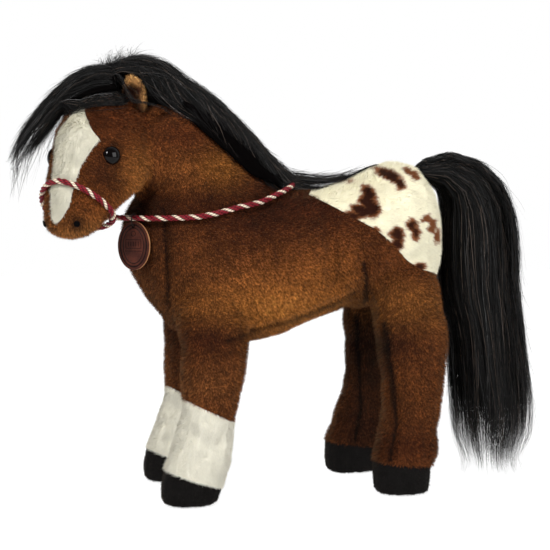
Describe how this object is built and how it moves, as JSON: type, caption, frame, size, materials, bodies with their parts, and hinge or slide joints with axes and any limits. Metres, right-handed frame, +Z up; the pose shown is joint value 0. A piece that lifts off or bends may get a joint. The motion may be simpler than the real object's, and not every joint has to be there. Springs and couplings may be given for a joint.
{
  "type": "plush horse",
  "caption": "Standing stuffed plush horse with its head turned, long-pile mane, forelock and tail, spotted rump patch, and a twisted rope halter with a hanging oval tag.",
  "frame": {"origin": "on the ground under the middle of the pony's box", "axes": "+X from the nose towards the tail, +Y towards the pony's right side, +Z up; the pony stands on Z = 0 and its head is turned to its left, -Y"},
  "size_m": [0.441, 0.1432, 0.343],
  "materials": {
    "plush_brown": "short-pile chestnut plush, soft and slightly mottled",
    "plush_cream": "short-pile cream plush printed with feathered dark brown spots",
    "plush_white": "short-pile off-white plush",
    "plush_black": "short-pile black plush",
    "hair_black": "long silky black synthetic pile",
    "eye_plastic": "polished black dome",
    "washer_plastic": "plain moulded",
    "rope_red": "twisted three-strand cotton rope, two burgundy strands and one cream strand",
    "tag_leather": "brown leather-look plate with a plain face and a tan cut edge",
    "thread_brown": "dark sewing thread",
    "fibre": "loose white polyester fibre stuffing"
  },
  "bodies": {
    "body": {"torso_skin": "plush_brown", "rump_patch": "plush_cream", "belly_gusset": "plush_brown", "torso_filling": "fibre", "neck_skin": "plush_brown", "neck_filling": "fibre", "head_skin": "plush_brown", "face_blaze": "plush_white", "head_filling": "fibre", "eye_left": "eye_plastic", "eye_right": "eye_plastic", "eye_washer_left": "washer_plastic", "eye_washer_right": "washer_plastic", "ear_left": "plush_brown", "ear_right": "plush_brown", "foreleg_left_hoof": "plush_black", "foreleg_left_stocking": "plush_white", "foreleg_left_skin": "plush_brown", "foreleg_left_filling": "fibre", "foreleg_right_hoof": "plush_black", "foreleg_right_stocking": "plush_white", "foreleg_right_skin": "plush_brown", "foreleg_right_filling": "fibre", "hindleg_left_hoof": "plush_black", "hindleg_left_skin": "plush_brown", "hindleg_left_filling": "fibre", "hindleg_right_hoof": "plush_black", "hindleg_right_skin": "plush_brown", "hindleg_right_filling": "fibre", "mane": "hair_black", "forelock": "hair_black", "noseband": "rope_red", "rein": "rope_red"},
    "tail_dock": {"tail_dock": "hair_black"},
    "tail": {"tail_hair": "hair_black"},
    "tag": {"tag": "tag_leather", "tag_thread": "thread_brown"}
  },
  "joints": [
    {"name": "tail_swing", "type": "hinge", "parent": "body", "child": "tail_dock", "pos_m": [0.11852, 0.00128, 0.25917], "axis": [0, 0, 1], "range_deg": [-30, 30]},
    {"name": "tail_lift", "type": "hinge", "parent": "tail_dock", "child": "tail", "pos_m": [0.11852, 0.00128, 0.25917], "axis": [0, -1, 0], "range_deg": [0, 75]},
    {"name": "tag_swing", "type": "hinge", "parent": "body", "child": "tag", "pos_m": [-0.12811, -0.02832, 0.2187], "axis": [-0.7748, 0.6322, 0], "range_deg": [0, 40]}
  ]
}
